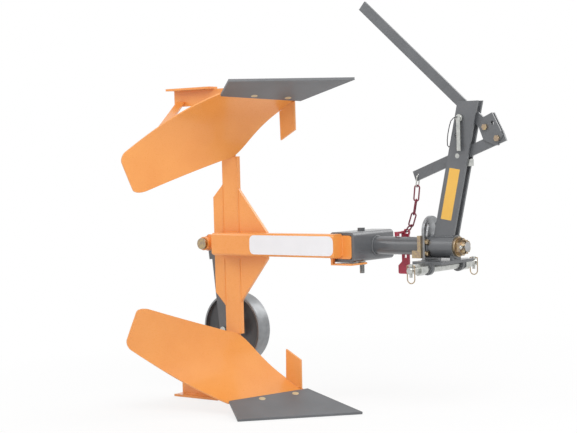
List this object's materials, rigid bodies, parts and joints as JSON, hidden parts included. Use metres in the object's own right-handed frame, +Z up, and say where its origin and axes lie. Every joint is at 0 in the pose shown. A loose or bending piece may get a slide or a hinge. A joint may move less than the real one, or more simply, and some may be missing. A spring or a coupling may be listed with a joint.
{
  "type": "reversible mounted plough",
  "caption": "Hand-turned reversible mounted plough with mirrored mouldboard bodies on a leg, swinging depth wheel, three-point headstock and lever latch.",
  "frame": {"origin": "middle of the lower link pin axis of the hitch", "axes": "+X forwards towards the tractor, +Y to the far side, away from the plough beam, +Z up"},
  "size_m": [1.3616, 0.7414, 1.394],
  "materials": {
    "orange_paint": "semi-gloss orange implement paint",
    "grey_paint": "satin dark grey implement paint",
    "share_paint": "satin grey protective paint",
    "plate_zinc": "bright zinc plated steel",
    "zinc": "bright zinc plated steel",
    "yellow_zinc": "yellow passivated zinc plated steel",
    "bare_steel": "turned bare steel",
    "bronze": "sintered bronze, oiled",
    "red_paint": "semi-gloss red paint",
    "dark_red_paint": "dark red painted chain",
    "wheel_grey": "dark grey paint",
    "tread_steel": "rolled bare steel rim",
    "black_cord": "black sheathed cord"
  },
  "bodies": {
    "headstock": {"mast_plate_near": "grey_paint", "mast_plate_far": "grey_paint", "mast_spacers": "zinc", "headstock_sleeve": "grey_paint", "sleeve_bushes": "bronze", "headstock_plate": "plate_zinc", "base_plate": "grey_paint", "hitch_ears": "grey_paint", "hitch_bar": "zinc", "lower_link_pins": "zinc", "lynch_pins": "zinc", "top_link_pin": "zinc", "top_link_clip": "zinc", "tether": "black_cord", "lock_plate": "yellow_zinc", "lock_bolts": "yellow_zinc", "latch_carrier": "grey_paint", "latch_bolts": "yellow_zinc"},
    "lynch_ring_near_body": {"lynch_ring_near": "yellow_zinc"},
    "lynch_ring_far_body": {"lynch_ring_far": "yellow_zinc"},
    "turning_unit": {"spindle_shaft": "bare_steel", "spindle_tube": "grey_paint", "cross_socket": "grey_paint", "spindle_washer": "yellow_zinc", "castle_nut": "yellow_zinc", "cotter_pin": "zinc", "clamp_bolt": "grey_paint", "clamp_nut": "zinc"},
    "plough_frame": {"cross_bar": "orange_paint", "beam_tube": "orange_paint", "guide_plate": "orange_paint", "leg_bar": "orange_paint", "leg_gussets": "orange_paint", "pivot_boss": "orange_paint", "frog_lower": "orange_paint", "frog_upper": "orange_paint", "share_lower": "share_paint", "share_upper": "share_paint", "share_bolts": "yellow_zinc", "mouldboard_lower": "orange_paint", "mouldboard_upper": "orange_paint", "landside_lower": "orange_paint", "landside_upper": "orange_paint", "sole_plates": "orange_paint", "mouldboard_stays": "orange_paint", "edge_fins": "orange_paint", "wheel_pivot_pin": "yellow_zinc"},
    "wheel_arm_body": {"wheel_arm": "grey_paint", "wheel_axle": "zinc"},
    "depth_wheel": {"wheel_hub": "grey_paint", "wheel_disc": "wheel_grey", "wheel_tread": "tread_steel"},
    "hand_lever": {"lever_handle": "grey_paint", "lever_arm": "grey_paint", "lever_brackets": "grey_paint", "lever_bolts": "yellow_zinc"},
    "latch_chain": {"chain_hook": "zinc", "chain_links": "dark_red_paint", "chain_shackle": "dark_red_paint"},
    "latch": {"latch_plate": "red_paint"}
  },
  "joints": [
    {"name": "reversal", "type": "hinge", "parent": "headstock", "child": "turning_unit", "pos_m": [0, 0, 0.066], "axis": [1, 0, 0], "range_deg": [0, 180]},
    {"name": "offset_slide", "type": "slide", "parent": "turning_unit", "child": "plough_frame", "axis": [0, -1, 0], "range_m": [0, 0.08]},
    {"name": "wheel_arm_swing", "type": "hinge", "parent": "plough_frame", "child": "wheel_arm_body", "pos_m": [-0.907, -0.092, 0.071], "axis": [0, -1, 0], "range_deg": [0, 167.6]},
    {"name": "wheel_spin", "type": "hinge", "parent": "wheel_arm_body", "child": "depth_wheel", "pos_m": [-0.87276, 0, -0.24415], "axis": [0, 1, 0], "continuous": true},
    {"name": "hand_lever_swing", "type": "hinge", "parent": "headstock", "child": "hand_lever", "pos_m": [0.073, 0, 0.362], "axis": [0, 1, 0], "range_deg": [-1.5, 9]},
    {"name": "chain_swing", "type": "hinge", "parent": "hand_lever", "child": "latch_chain", "pos_m": [-0.09, 0, 0.302], "axis": [0, 1, 0], "range_deg": [-11.6, 2.2]},
    {"name": "latch_lift", "type": "slide", "parent": "headstock", "child": "latch", "axis": [0, 0, 1], "range_m": [-0.0044, 0.0245]},
    {"name": "near_ring_swing", "type": "hinge", "parent": "headstock", "child": "lynch_ring_near_body", "pos_m": [0, -0.193, 0.016], "axis": [-1, 0, 0], "range_deg": [-15, 150]},
    {"name": "far_ring_swing", "type": "hinge", "parent": "headstock", "child": "lynch_ring_far_body", "pos_m": [0, 0.193, 0.016], "axis": [1, 0, 0], "range_deg": [-15, 150]}
  ],
  "couplings": [
    {"joint": "chain_swing", "follows": "hand_lever_swing", "ratio": -1.24},
    {"joint": "latch_lift", "follows": "hand_lever_swing", "m_per_rad": 0.149}
  ]
}
